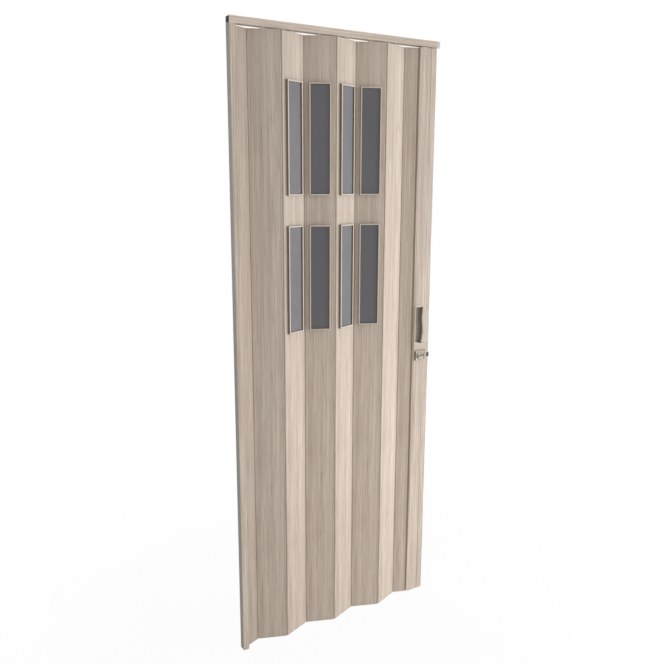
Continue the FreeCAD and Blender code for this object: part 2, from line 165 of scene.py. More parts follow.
# Printed wood grain film, along one axis. On the leaves it follows each leaf's own drawing and
# carries painted shade across the leaf, at its folds and on the half leaf at the jamb.
grain = {
    "pale": colour(216, 202, 188),
    "deep": colour(180, 165, 151),
    "poreAndPaintedShade": colour(160, 143, 129),
    "sway": 0.006,             # metres that the grain wanders sideways
    "wander": (9, 1.6),        # this and the next five: marks in a metre, across and along
    "bands": (42, 0.9),
    "streaks": (300, 3.4),
    "fibres": (760, 9),
    "dashes": (390, 8),
    "pores": (1150, 26),
    "poreDepth": 0.00006,
    "fibreHeight": 0.00003,
    "figure": (0.3, 0.5, 0.25),            # shares of bands, streaks and fibres
    "contrast": ((0.45, 0), (0.62, 1)),
    "poreShare": 0.75, "dashShare": 0.45,
    "roughness": 0.50,
    "leafWidth": 0.10647,      # metres from fold to fold
    "leafFigure": 0.64,        # share of the fine figure on a leaf
    "leafPrint": 0.4,          # share of the broad print and painted shade beside it
    "leafDarker": 0.02,
    # Across a leaf: partly the film's own broad print, partly painted shade, lighter towards the
    # leaf's right
    "print": ((0.0, 0.35), (0.05, 0.50), (0.12, 0.25), (0.21, 0.28), (0.29, 0.62),
              (0.35, 0.62), (0.40, 0.22), (0.47, 0.72), (0.53, 0.66), (0.60, 0.36),
              (0.68, 0.75), (0.80, 0.85), (0.87, 0.60), (1.0, 0.35)),
    "fold": ((0.925, 0), (0.980, 0.5)),    # painted shade: darker film where the leaf turns into the fold, in the crease's shade
    "shade": {0: 0.4},                     # painted shade: darker film on the half leaf at the jamb, where the jamb shades it
    "acrossPale": colour(220, 206, 192),
    "acrossDeep": colour(187, 172, 158),
    "acrossDarkening": ((0.35, 0), (0.80, 0.40)),   # darker film towards the track's right end
}


def grainRecipe(along, leaf=False, start=0.0):
    def stretched(across, length):
        scale = [across, across, across]
        scale[along] = length
        return scale

    def recipe(point):
        if leaf:
            point = point.node("ShaderNodeAttribute", {"attribute_name": "leafPoint"}, output=1)
        wander = point.node("ShaderNodeTexNoise", None, {
            "Vector": point.node("ShaderNodeMapping", None, {
                "Vector": point, "Scale": stretched(*grain["wander"])}),
            "Scale": 1.0, "Detail": 1.0}, 1)
        shift = point.node("ShaderNodeVectorMath", {"operation": "MULTIPLY_ADD"}, {
            0: wander, 1: (grain["sway"],) * 3, 2: point})
        shift = shift.node("ShaderNodeVectorMath", {"operation": "ADD"}, {
            0: shift, 1: (start,) * 3})
        bands = shift.noise(stretched(*grain["bands"]), 2.0, 0.55)
        streaks = shift.noise(stretched(*grain["streaks"]), 2.0, 0.55)
        fibres = shift.noise(stretched(*grain["fibres"]), 2.0, 0.6)
        dashes = shift.noise(stretched(*grain["dashes"]), 1.0).ramp((0.58, 0), (0.68, 1))
        pores = shift.noise(stretched(*grain["pores"]), 1.0).ramp((0.60, 0), (0.72, 1))
        broad, middle, fine = grain["figure"]
        figure = (bands * broad + streaks * middle + fibres * fine).ramp(*grain["contrast"])
        # pores and dashes are the film's own marks; on the leaves painted shade is added to them
        # below
        marksAndPaintedShade = pores * (grain["poreShare"] - 0.5 * streaks) + dashes * grain["dashShare"]
        if leaf:
            share = point.node("ShaderNodeSeparateXYZ", None, {0: point}) / grain["leafWidth"]
            # the film's broad print with painted shade across the leaf
            printAndPaintedShade = share.ramp(*grain["print"]) * grain["leafPrint"]
            figure = figure * grain["leafFigure"] + printAndPaintedShade - grain["leafDarker"]
            # painted shade: the half leaf at the jamb made darker, as if shaded by the jamb
            shade = point.node("ShaderNodeAttribute", {"attribute_name": "leafShade"}, output=2)
            # painted shade at the fold and on the half leaf at the jamb is added to the film's own
            # marks
            marksAndPaintedShade = marksAndPaintedShade + share.ramp(*grain["fold"]) + shade
        body = figure.mix(grain["deep"], grain["pale"])
        if along == 0:
            place = point.node("ShaderNodeSeparateXYZ", None, {0: point})
            marksAndPaintedShade = marksAndPaintedShade + place.ramp(*grain["acrossDarkening"])
            body = figure.mix(grain["acrossDeep"], grain["acrossPale"])
        return {
            "Base Color": marksAndPaintedShade.mix(body, grain["poreAndPaintedShade"]),
            "Roughness": grain["roughness"] + 0.10 * fibres - 0.05 * bands,
            "Specular IOR Level": 0.35,
            "height": fibres * grain["fibreHeight"] - pores * grain["poreDepth"],
        }
    return recipe


plastic = {
    "cloud": (28, 28, 28),      # marks in a metre along X, Y and Z
    "skin": (2600, 2600, 2600),
    "scuffs": (90, 90, 14),
}


# Plain moulded or extruded plastic: a faint cloudy tone and a fine satin texture.
# With a sunk colour, the piece's "sunk" attribute paints shade into it, from 0 at the rim to 1 at
# the bottom of a recess.
def plasticRecipe(tone, shade, roughness, texture, sunk=None):
    def recipe(point):
        cloud = point.noise(plastic["cloud"], 3.0, 0.6).ramp((0.35, 0), (0.68, 1))
        skin = point.noise(plastic["skin"], 1.0)
        scuffs = point.noise(plastic["scuffs"], 4.0, 0.65).ramp((0.48, 0), (0.70, 1))
        body = cloud.mix(shade, tone)
        dull = roughness + 0.08 * scuffs + 0.05 * skin
        if sunk:
            depth = point.node("ShaderNodeAttribute", {"attribute_name": "sunk"}, output=2)
            body = depth.mix(body, sunk)
            dull = dull + 0.35 * depth
        return {
            "Base Color": body,
            "Roughness": dull,
            "Specular IOR Level": 0.35,
            "height": texture * skin,
        }
    return recipe


# Smoked acrylic: dark and satin, with slow waves and a little haze
def acrylicRecipe(point):
    depth = point.noise((5, 5, 3.2), 1.0).ramp((0.3, 0), (0.7, 1))
    haze = point.noise((70, 70, 30), 4.0, 0.6).ramp((0.42, 0), (0.72, 1))
    waves = point.noise((36, 36, 22), 1.0)
    return {
        "Base Color": (depth * 0.7 + haze * 0.3).mix(colour(89, 88, 92), colour(99, 97, 101)),
        "Roughness": 0.46 + 0.10 * haze,
        "Specular IOR Level": 0.55,
        "height": waves * 0.00012,
    }


# Metal with fine brushing along one axis
def metalRecipe(tone, shade, roughness, brush, metallic=1.0):
    def recipe(point):
        lines = point.noise(brush, 3.0, 0.6)
        cloud = point.noise((60, 60, 60), 3.0, 0.6).ramp((0.35, 0), (0.7, 1))
        return {
            "Base Color": cloud.mix(shade, tone),
            "Metallic": metallic,
            "Roughness": roughness + 0.12 * cloud + 0.10 * lines,
            "height": lines * 0.000012,
        }
    return recipe


materials = {
    "filmLeaf": makeMaterial("woodgrainFilmLeaf", grainRecipe(2, True)),
    "filmUpright": makeMaterial("woodgrainFilmUpright", grainRecipe(2)),
    "filmAcross": makeMaterial("woodgrainFilmAcross", grainRecipe(0, start=2.3)),
    "rawVinyl": makeMaterial("uncoveredVinyl", plasticRecipe(
        colour(206, 200, 192), colour(194, 188, 180), 0.48, 0.00002)),
    # darker copy of uncovered vinyl for the jamb's wall face: grey vinyl with painted shade
    "wallFacePaintedShade": makeMaterial("uncoveredVinylPaintedShadeWallFace", plasticRecipe(
        colour(153, 148, 142), colour(144, 139, 132), 0.55, 0.00002)),
    "endCap": makeMaterial("trackEndCap", plasticRecipe(
        colour(196, 193, 190), colour(188, 185, 182), 0.42, 0.00001)),
    # dark stop in the track's open end: painted shade in the hollow
    "shadeStop": makeMaterial("darkStopPaintedShade", plasticRecipe(
        colour(66, 62, 58), colour(54, 50, 47), 0.85, 0.00012)),
    "frameVinyl": makeMaterial("windowFrameVinyl", plasticRecipe(
        colour(214, 202, 186), colour(206, 193, 177), 0.40, 0.000012)),
    # darker copy of the frame vinyl for the bars' sides: painted shade
    "frameSidePaintedShade": makeMaterial("windowFrameSide", plasticRecipe(
        colour(128, 116, 101), colour(117, 105, 91), 0.46, 0.000012)),
    # brown hinge vinyl, darkened further as painted shade in the fold gaps
    "hingeVinylFoldShade": makeMaterial("flexibleHingeVinylFoldShade", plasticRecipe(
        colour(130, 115, 99), colour(119, 105, 90), 0.55, 0.00002)),
    # lighter copy of the hinge vinyl at the post: painted light against the shade in the post's
    # groove
    "postHingePaintedLight": makeMaterial("flexibleHingeVinylPaintedLightAtPost", plasticRecipe(
        colour(216, 203, 188), colour(206, 192, 177), 0.55, 0.00002)),
    "acrylic": makeMaterial("smokedAcrylic", acrylicRecipe),
    # the sunk colour paints shade into the cup and onto the plate's left border
    "pull": makeMaterial("fingerPullPlasticPaintedShade", plasticRecipe(
        colour(194, 184, 170), colour(187, 176, 162), 0.42, 0.00001, colour(124, 113, 101))),
    "nylon": makeMaterial("runnerNylon", plasticRecipe(
        colour(222, 220, 212), colour(210, 207, 198), 0.42, 0.00001)),
    "plate": makeMaterial("lockPlateMetal", metalRecipe(
        colour(176, 166, 150), colour(162, 152, 137), 0.48, (40, 900, 900), 0.2)),
    # darker copy of the plate metal for side faces: painted shade
    "plateSidePaintedShade": makeMaterial("lockPlateSidePaintedShade", metalRecipe(
        colour(84, 76, 66), colour(70, 63, 54), 0.55, (40, 900, 900), 0.2)),
    "turn": makeMaterial("turnMetal", metalRecipe(
        colour(190, 180, 165), colour(174, 164, 150), 0.42, (900, 60, 900), 0.3)),
    # darker metal for the turn's bar and the disc's sides: painted shade
    "bar": makeMaterial("turnBarMetalPaintedShade", metalRecipe(
        colour(140, 127, 112), colour(124, 112, 98), 0.42, (900, 60, 900), 0.4)),
    "bolt": makeMaterial("boltSteel", metalRecipe(
        colour(62, 57, 52), colour(50, 46, 41), 0.45, (20, 800, 800), 0.6)),
    "pullScrew": makeMaterial("bronzedScrew", metalRecipe(
        colour(168, 156, 138), colour(148, 137, 121), 0.42, (700, 700, 60), 0.4)),
    "screw": makeMaterial("zincScrew", metalRecipe(
        colour(234, 230, 222), colour(214, 209, 200), 0.32, (700, 700, 60), 0.5)),
}
print("stage: materials made")


# How every mesh is cleaned and shaded
surface = {
    "crisp": 32,            # degrees from which an edge is shaded sharp
    "round": 8,             # degrees from which an edge belongs to a CAD round
    "flat": 0.6,            # degrees under which faces are joined
    "corner": 0.9,          # radians from which an edge is a corner
    "facing": 0.9,          # part of its normal with which a face looks along an axis
    "merge": 1e-6,          # metres between corners that count as one
    "speck": 1e-7,          # metres of an edge that is too short to keep
}


# Turns a bmesh into a piece on its body
def finishPiece(bm, name, finishes, body="door", nodes=()):
    crisp = math.radians(surface["crisp"])
    for edge in bm.edges:
        edge.smooth = len(edge.link_faces) == 2 and edge.calc_face_angle() < crisp
    for face in bm.faces:
        face.smooth = True
    mesh = bpy.data.meshes.new(name)
    bm.to_mesh(mesh)
    bm.free()
    for finish in finishes:
        mesh.materials.append(materials[finish])
    made = bpy.data.objects.new(name, mesh)
    scene.collection.objects.link(made)
    made.modifiers.new("flatFaces", "WEIGHTED_NORMAL").keep_sharp = True
    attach(made, body)
    if nodes:
        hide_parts(*nodes)


def bevelEdges(bm, edges, width, segments=2):
    bmesh.ops.bevel(bm, geom=list(edges), offset=width, offset_type="OFFSET", affect="EDGES",
                    segments=segments, profile=0.5, material=-1, clamp_overlap=True)


def vertsOf(geom):
    return [item for item in geom if isinstance(item, bmesh.types.BMVert)]


def everythingOf(bm):
    return list(bm.verts) + list(bm.edges) + list(bm.faces)


# The corners of these edges, each of them once
def cornersOf(edges):
    return {vert for edge in edges for vert in edge.verts}


# Extrudes a loop of edges, and returns the new loop
def grownLoop(bm, loop):
    grown = bmesh.ops.extrude_edge_only(bm, edges=loop)["geom"]
    return [item for item in grown if isinstance(item, bmesh.types.BMEdge)]


# Edges whose faces turn by more than one angle, and by no more than the other
def edgesTurning(bm, least, most=math.inf):
    return [e for e in bm.edges if len(e.link_faces) == 2
            and least < math.degrees(e.calc_face_angle()) <= most]


# Moves a bmesh into another one
def joinTo(bm, extra):
    copy = bpy.data.meshes.new("joined")
    extra.to_mesh(copy)
    extra.free()
    bm.from_mesh(copy)
    bpy.data.meshes.remove(copy)


# No doubled corners and no many-sided faces, which shade badly
def cleanFaces(bm):
    bmesh.ops.dissolve_degenerate(bm, dist=surface["speck"], edges=bm.edges)
    bmesh.ops.triangulate(bm, faces=[f for f in bm.faces if len(f.verts) > 4])


def outwards(bm):
    bmesh.ops.remove_doubles(bm, verts=bm.verts, dist=surface["merge"])
    bmesh.ops.recalc_face_normals(bm, faces=bm.faces)


# A merged copy of a CAD node with its rounds made finer and its sharp edges softened
def softenedCopy(node, edge, rounds=0.0):
    bm = bmesh.new()
    bm.from_mesh(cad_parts[node].data)
    bmesh.ops.remove_doubles(bm, verts=bm.verts, dist=surface["merge"])
    bmesh.ops.dissolve_limit(bm, angle_limit=math.radians(surface["flat"]),
                             verts=bm.verts, edges=bm.edges)
    if rounds:
        bevelEdges(bm, edgesTurning(bm, surface["round"], surface["crisp"]), rounds, 1)
    bevelEdges(bm, edgesTurning(bm, surface["crisp"]), edge)
    cleanFaces(bm)
    return bm


# Faces that look along an axis get the second finish
def markEnds(bm, axis):
    for face in bm.faces:
        face.material_index = int(abs(face.normal[axis]) > surface["facing"])


# The folding line of the curtain, seen from above
curtain = {
    "jambHinge": 0.01815,
    "pitch": 0.10647,
    "fold": 21.08,      # degrees between a leaf and the track
    "fullLeaves": 6,
    "halfLeaves": (0, 7),
}


def hingeAxes():
    step = curtain["pitch"] * math.cos(math.radians(curtain["fold"]))
    reach = curtain["pitch"] * math.sin(math.radians(curtain["fold"])) / 2
    first, folds = curtain["jambHinge"], curtain["fullLeaves"] + 1
    axes = [Vector((first, 0, 0))]
    for k in range(folds):
        axes.append(Vector((first + (k + 0.5) * step, reach if k % 2 == 0 else -reach, 0)))
    axes.append(Vector((first + folds * step, 0, 0)))
    return axes


# From a leaf's own drawing to its place. X runs along the leaf from its middle, -Y is the front.
def leafPlace(k):
    axes = hingeAxes()
    run = axes[k + 1] - axes[k]
    turn = Matrix.Rotation(math.atan2(run.y, run.x), 4, "Z")
    return Matrix.Translation((axes[k] + axes[k + 1]) / 2) @ turn


# Gives each vertex its place on a leaf's drawing, measured from the leaf's first hinge axis,
# and the leaf's painted shade
def markLeaf(bm, k):
    shift = curtain["pitch"] * (0.25 if k in curtain["halfLeaves"] else 0.5)
    layer = bm.verts.layers.float_vector.new("leafPoint")
    shade = bm.verts.layers.float.new("leafShade")
    back = Matrix.Translation((shift, 0, 0)) @ leafPlace(k).inverted()
    for vert in bm.verts:
        vert[layer] = back @ vert.co
        vert[shade] = grain["shade"].get(k, 0.0)


# Jamb, track, leaves, post and closing strip
profiles = {
    "edge": 0.00022,
    "leafRounds": 0.0002,
    "postFall": (0.7210, 0.0080, 0.0024),      # where it starts, its width and its depth
    "postHalf": 0.010, "postCore": 0.0045,     # half its thickness, and the part that stays
    "jambWallFace": 0.0002,
}


# Slopes the post's folding side, so that its left edge shows softly
def squeezePost(bm):
    start, wide, deep = profiles["postFall"]
    half, core = profiles["postHalf"], profiles["postCore"]
    bmesh.ops.bisect_plane(bm, geom=everythingOf(bm), plane_co=(start, 0, 0), plane_no=(1, 0, 0))
    for vert in bm.verts:
        out = abs(vert.co.y) - core
        if vert.co.x < start and out > 0:
            squeeze = deep / (half - core) * (start - vert.co.x) / wide
            vert.co.y -= math.copysign(out * squeeze, vert.co.y)


# The jamb's wall face gets the darker vinyl, as painted shade
def markWallFace(bm):
    for face in bm.faces:
        outside = face.calc_center_median().x < profiles["jambWallFace"]
        if outside and face.normal.x < -surface["facing"]:
            face.material_index = 2


def finishProfile(bm, node, finishes):
    finishPiece(bm, node + "_film", finishes, nodes=[node])


def buildProfiles():
    full = [f"leaf_{k}" for k in range(1, curtain["fullLeaves"] + 1)]
    for k, node in enumerate(["hinge_side_half_leaf", *full, "lock_side_half_leaf"]):
        bm = softenedCopy(node, profiles["edge"], profiles["leafRounds"])
        markEnds(bm, 2)
        markLeaf(bm, k)
        finishProfile(bm, node, ["filmLeaf", "rawVinyl"])
    for node in ("lead_post", "closing_strip", "wall_jamb"):
        bm = softenedCopy(node, profiles["edge"])
        if node == "lead_post":
            squeezePost(bm)
        markEnds(bm, 2)
        if node == "wall_jamb":
            markWallFace(bm)
        finishProfile(bm, node, ["filmUpright", "rawVinyl", "wallFacePaintedShade"])
    bm = softenedCopy("head_track", profiles["edge"])
    markEnds(bm, 0)
    finishProfile(bm, "head_track", ["filmAcross", "rawVinyl"])


buildProfiles()
print("stage: profiles built")

windows = {
    "leaves": (2, 3, 4, 5),
    "rows": {"upper": (1.575, 1.932), "lower": (1.1205, 1.4775)},
    "width": 0.0724,
    "bar": 0.0045,
    "lip": 0.0015,          # the bar's front edge that the pane lies behind
    "face": 0.0125,         # from the leaf's middle plane to the top of the bars
    "leafFace": 0.004,
    "setback": 0.0042,      # from the top of the bars to the pane
    "outerRound": 0.0011,
    "innerRound": 0.0005,
    "paneThick": 0.002,
    "paneGap": 0.0002,
    "paneEdge": 0.0003,
    "sideFacing": 0.35,     # a bar's faces that look less than this to the front are its sides, which get painted shade
    "near": 0.0001,         # a corner this near to a line lies on it
}


# A flat rectangle facing -Y in the leaf's middle plane, as one face
def rectangle(bm, width, low, high):
    made = bmesh.ops.create_grid(bm, x_segments=1, y_segments=1, size=0.5)["verts"]
    upright = Matrix.Rotation(math.radians(90), 4, "X")
    placed = Matrix.Translation((0, 0, (low + high) / 2)) @ upright
    bmesh.ops.transform(bm, matrix=placed @ Matrix.Diagonal((width, high - low, 1, 1)), verts=made)
    return made[0].link_faces[0]


# One side of a frame: the section of a bar, as (inset, out), carried round the window
def windowRing(bm, low, high):
    bar, foot, crest = windows["bar"], windows["leafFace"], windows["face"]
    rebate, seat = bar - windows["lip"], crest - windows["setback"]
    section = ((0, foot), (0, crest), (bar, crest), (bar, seat),
               (rebate, seat), (rebate, foot), (0, foot))
    face = rectangle(bm, windows["width"], low, high)
    loop = list(face.edges)
    bmesh.ops.delete(bm, geom=[face], context="FACES_ONLY")
    for step, (inset, out) in enumerate(section):
        if step:
            loop = grownLoop(bm, loop)
        for vert in cornersOf(loop):
            side = math.copysign(windows["width"] / 2 - inset, vert.co.x)
            level = high - inset if vert.co.z > (low + high) / 2 else low + inset
            vert.co = (side, -out, level)
    outwards(bm)
    near = windows["near"]
    half = windows["width"] / 2 - near
    sharp = [e for e in bm.edges if all(v.co.y < near - crest for v in e.verts)
             and e.calc_face_angle() > surface["corner"]]
    outer = [e for e in sharp if all(abs(v.co.x) > half for v in e.verts)
             or all(not low + near < v.co.z < high - near for v in e.verts)]
    bevelEdges(bm, [e for e in sharp if e not in outer], windows["innerRound"])
    bevelEdges(bm, [e for e in outer if e.is_valid], windows["outerRound"], 3)
    # painted shade: the bars' sides take the darker copy of the frame vinyl
    for face in bm.faces:
        face.material_index = int(abs(face.normal.y) < windows["sideFacing"])


def buildWindows():
    for k in windows["leaves"]:
        for row, (low, high) in windows["rows"].items():
            bm = bmesh.new()
            windowRing(bm, low, high)
            back = bmesh.ops.duplicate(bm, geom=everythingOf(bm))["geom"]
            bmesh.ops.rotate(bm, cent=(0, 0, 0), matrix=Matrix.Rotation(math.pi, 3, "Z"),
                             verts=vertsOf(back))
            bmesh.ops.transform(bm, matrix=leafPlace(k), verts=bm.verts)
            node = f"window_frame_{k}_{row}"
            finishPiece(bm, node + "_moulded", ["frameVinyl", "frameSidePaintedShade"],
                        nodes=[node])
        bm = bmesh.new()
        for low, high in windows["rows"].values():
            edge = windows["bar"] - windows["lip"] + windows["paneGap"]
            size = (windows["width"] - 2 * edge, windows["paneThick"], high - low - 2 * edge)
            out = windows["face"] - windows["setback"] - windows["paneThick"] / 2
            for side in (-1, 1):
                placed = Matrix.Translation((0, side * out, (low + high) / 2))
                bmesh.ops.create_cube(bm, size=1, matrix=placed @ Matrix.Diagonal((*size, 1)))
        bevelEdges(bm, bm.edges, windows["paneEdge"])
        bmesh.ops.transform(bm, matrix=leafPlace(k), verts=bm.verts)
        node = f"window_panes_{k}"
        finishPiece(bm, node + "_smoked", ["acrylic"], nodes=[node])


buildWindows()
print("stage: windows built")


runner = {
    "edge": 0.0004,
}


def buildHinges():
    folds = [f"fold_strip_{k}" for k in range(1, curtain["fullLeaves"] + 2)]
    for node in ("jamb_hinge_strip", "post_hinge_strip", *folds):
        # the post's strip takes the lighter copy, as painted light; the fold strips take the darker
        # one
        finish = "postHingePaintedLight" if node == "post_hinge_strip" else "hingeVinylFoldShade"
        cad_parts[node].data.materials.clear()
        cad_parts[node].data.materials.append(materials[finish])
    bm = softenedCopy("runners", runner["edge"])
    finishPiece(bm, "runners_nylon", ["nylon"], nodes=["runners"])


buildHinges()
print("stage: hinge strips and runners dressed")


# A turned shape: the profile's points are (radius, place along the axis)
def turned(bm, profile, centre, axis, steps):
    axis = Vector(axis).normalized()
    side = axis.orthogonal().normalized()
    verts = [bm.verts.new(Vector(centre) + side * r + axis * h) for r, h in profile]
    edges = [bm.edges.new(pair) for pair in zip(verts, verts[1:])]
    bmesh.ops.spin(bm, geom=verts + edges, cent=centre, axis=axis, dvec=(0, 0, 0),
                   angle=math.tau, steps=steps, use_merge=True, use_duplicate=False)
    bmesh.ops.remove_doubles(bm, verts=bm.verts, dist=surface["merge"])


# Screw heads. The shares are of a head's own radius or height.
screw = {
    "arm": 0.52, "bar": 0.13,       # half the length and half the width of the recess
    "recess": 0.5, "taper": 0.8,    # its depth, and its narrower foot
    "flat": 0.62,                   # radius of the flat top
    "dome": ((0.86, 0.72), (0.97, 0.38), (1.0, 0.0)),      # rings as (radius, height)
    "shank": 0.55,                  # radius of the shank
    "segments": 20,
    "sunk": 0.0001,                 # metres that a head sinks into what it stands on
}


# A raised screw head with a cross recess, standing on its place and looking along out
def addScrew(bm, place, out, radius, height, turn, shank):
    head = bmesh.new()
    bmesh.ops.create_grid(head, x_segments=3, y_segments=3, size=1)
    arm, bar = screw["arm"] * radius, screw["bar"] * radius
    for vert in head.verts:
        vert.co.x = math.copysign(arm if abs(vert.co.x) > 0.5 else bar, vert.co.x)
        vert.co.y = math.copysign(arm if abs(vert.co.y) > 0.5 else bar, vert.co.y)
        vert.co.z = height
    centres = [(face, face.calc_center_median()) for face in head.faces]
    corners = [face for face, middle in centres if min(abs(middle.x), abs(middle.y)) > bar]
    bmesh.ops.delete(head, geom=corners, context="FACES")
    cross = list(head.faces)
    rim = [e for e in head.edges if len(e.link_faces) == 1]
    made = bmesh.ops.create_circle(
        head, segments=screw["segments"], radius=screw["flat"] * radius, cap_ends=False,
        matrix=Matrix.Translation((0, 0, height)))["verts"]
    ring = list({e for v in made for e in v.link_edges})
    bmesh.ops.triangle_fill(head, edges=rim + ring, normal=(0, 0, 1), use_beauty=True)
    sunk = bmesh.ops.extrude_face_region(head, geom=cross)["geom"]
    bmesh.ops.delete(head, geom=cross, context="FACES")
    low = vertsOf(sunk)
    bmesh.ops.translate(head, vec=(0, 0, -screw["recess"] * height), verts=low)
    bmesh.ops.scale(head, vec=(screw["taper"], screw["taper"], 1), verts=low)
    rings = [(reach, level * height) for reach, level in screw["dome"]]
    if shank:
        rings += [(screw["shank"], 0.0), (screw["shank"], -shank)]
    for reach, level in rings:
        ring = grownLoop(head, ring)
        for vert in cornersOf(ring):
            flat = vert.co.xy.normalized() * reach * radius
            vert.co = (flat.x, flat.y, level)
    bmesh.ops.contextual_create(head, geom=ring)
    outwards(head)
    placed = Matrix.Translation(place) @ Vector(out).to_track_quat("Z", "Y").to_matrix().to_4x4()
    bmesh.ops.transform(head, matrix=placed @ Matrix.Rotation(math.radians(turn), 4, "Z"),
                        verts=head.verts)
    joinTo(bm, head)


# Screws of one kind. The size is (radius, height), the turns are degrees of the first and more.
def screwSet(places, out, size, turns, shank=0.0):
    bm = bmesh.new()
    first, more = turns
    for n, place in enumerate(places):
        addScrew(bm, place, out, *size, first + more * n, shank)
    return bm


# Finger pull: an arched plate with an ear, a scooped cup and a waved grip edge
pull = {
    "left": 0.7134646, "side": 0.7606646, "ear": 0.7834646,
    "bottom": 1.0036, "top": 1.17, "arch": 0.0034,
    "earBottom": 1.022, "earTop": 1.16, "earSlant": 0.014,
    "face": -0.013, "thick": 0.003, "wall": 0.0013,
    "cupLeft": 0.7167, "cupRight": 0.7554,
    "cupBottom": 1.026, "cupTop": 1.164, "cupSlant": 0.008, "cupDepth": 0.0105,
    "scoop": 0.62,          # share of the cup's width over which its floor slopes
    "foot": 0.0022,         # round between floor and walls
    # How far the grip edge stands into the cup, as (share of the height, metres)
    "grip": ((0.0, 0.0036), (0.045, 0.0060), (0.15, 0.0027), (0.30, 0.0), (0.42, 0.0006),
             (0.70, 0.0042), (1.0, 0.0012)),
    "lip": 0.0007,
    "rim": 0.0009,
    "apron": (0.0014, 0.0018),         # plain border round the cup, in X and in Z
    "leftFall": (0.7160, 0.0026),      # where the plate starts to fall to the left, and how far
    "slope": 1.1, "shadeCurve": 0.7,    # how the floor's slope and its painted shade run
    "leastCupShade": 0.5, "leastApronShade": 0.42, "leastLeftShade": 0.25,      # least painted shade of each part
    "grid": (26, 60), "archSteps": 14,
    "screws": ((0.7650, 1.1446), (0.7590, 1.0300)),
    "screwSize": (0.0026, 0.0009),     # radius and height
    "screwTurns": (20, 35),            # degrees of the first, and more for the next
}


# How far the grip edge stands into the cup at a share of its height
def gripInset(share):
    points = pull["grip"]
    for (low, a), (high, b) in zip(points, points[1:]):
        if share <= high:
            t = (share - low) / (high - low)
            return a + (b - a) * t * t * (3 - 2 * t)
    return points[-1][1]


# How far a round foot rises at a distance from its wall
def rounded(distance, radius):
    return radius - math.sqrt(radius ** 2 - max(0.0, radius - distance) ** 2)


# The plate's outline as (x, z), with the arch in short steps
def pullOutline():
    left, side, ear, slant = (pull[key] for key in ("left", "side", "ear", "earSlant"))
    low, high = pull["earBottom"], pull["earTop"]
    points = [(left, pull["bottom"]), (side, pull["bottom"]), (side, low),
              (ear, low + slant), (ear, high - slant), (side, high)]
    middle, half = (left + side) / 2, (side - left) / 2
    for k in range(pull["archSteps"] + 1):
        share = 1 - k / (pull["archSteps"] / 2)
        points.append((middle + share * half, pull["top"] + pull["arch"] * (1 - share ** 2)))
    return points


# -1 at the start of a run of shares, 1 at its end and 0 between them
def endOf(share):
    return -1 if share < 0.001 else 1 if share > 0.999 else 0


# The cup with its walls and apron. Returns the apron's border and the layer of painted shade.
def addCup(bm):
    columns, rows = pull["grid"]
    bmesh.ops.create_grid(bm, x_segments=columns, y_segments=rows, size=0.5)
    outX, outZ, sunk = (bm.verts.layers.float.new(name) for name in ("outX", "outZ", "sunk"))
    for vert in bm.verts:
        across, up = vert.co.x + 0.5, vert.co.y + 0.5
        vert[outX], vert[outZ] = endOf(across), endOf(up)
        wide = pull["cupRight"] - gripInset(up) - pull["cupLeft"]
        foot = pull["cupBottom"] + pull["cupSlant"] * (1 - across)
        tall = pull["cupTop"] - foot
        slope = math.sin(min(1.0, across / pull["scoop"]) * math.pi / 2) ** pull["slope"]
        rise = rounded((1 - across) * wide, pull["foot"])
        rise = max(rise, rounded(min(up, 1 - up) * tall, pull["foot"]))
        depth = pull["cupDepth"] * slope * (1 - rise / pull["cupDepth"])
        # painted shade grows with the cup's depth
        shadeShare = (depth / pull["cupDepth"]) ** pull["shadeCurve"]
        vert[sunk] = pull["leastCupShade"] + (1 - pull["leastCupShade"]) * shadeShare
        vert.co = (pull["cupLeft"] + across * wide, pull["face"] + depth, foot + up * tall)
    mouth = grownLoop(bm, [e for e in bm.edges if len(e.link_faces) == 1])
    for vert in cornersOf(mouth):
        vert.co.y = pull["face"]
        vert[sunk] = pull["leastCupShade"] if vert[outX] < 0 else 0
    border = grownLoop(bm, mouth)
    wide, tall = pull["apron"]
    for vert in cornersOf(border):
        vert[sunk] = pull["leastApronShade"] if vert[outX] < 0 else 0
        vert.co.x += wide * vert[outX]
        vert.co.z += tall * vert[outZ]
    return border, sunk


# Lets the plate's left border fall away from the face, and paints shade on it
def slopeLeft(bm, sunk):
    start, deep = pull["leftFall"]
    bmesh.ops.bisect_plane(bm, geom=everythingOf(bm), plane_co=(start, 0, 0), plane_no=(1, 0, 0))
    for vert in bm.verts:
        if vert.co.x < start:
            vert.co.y += deep * (start - vert.co.x) / (start - pull["left"])
            vert[sunk] = max(vert[sunk], pull["leastLeftShade"])


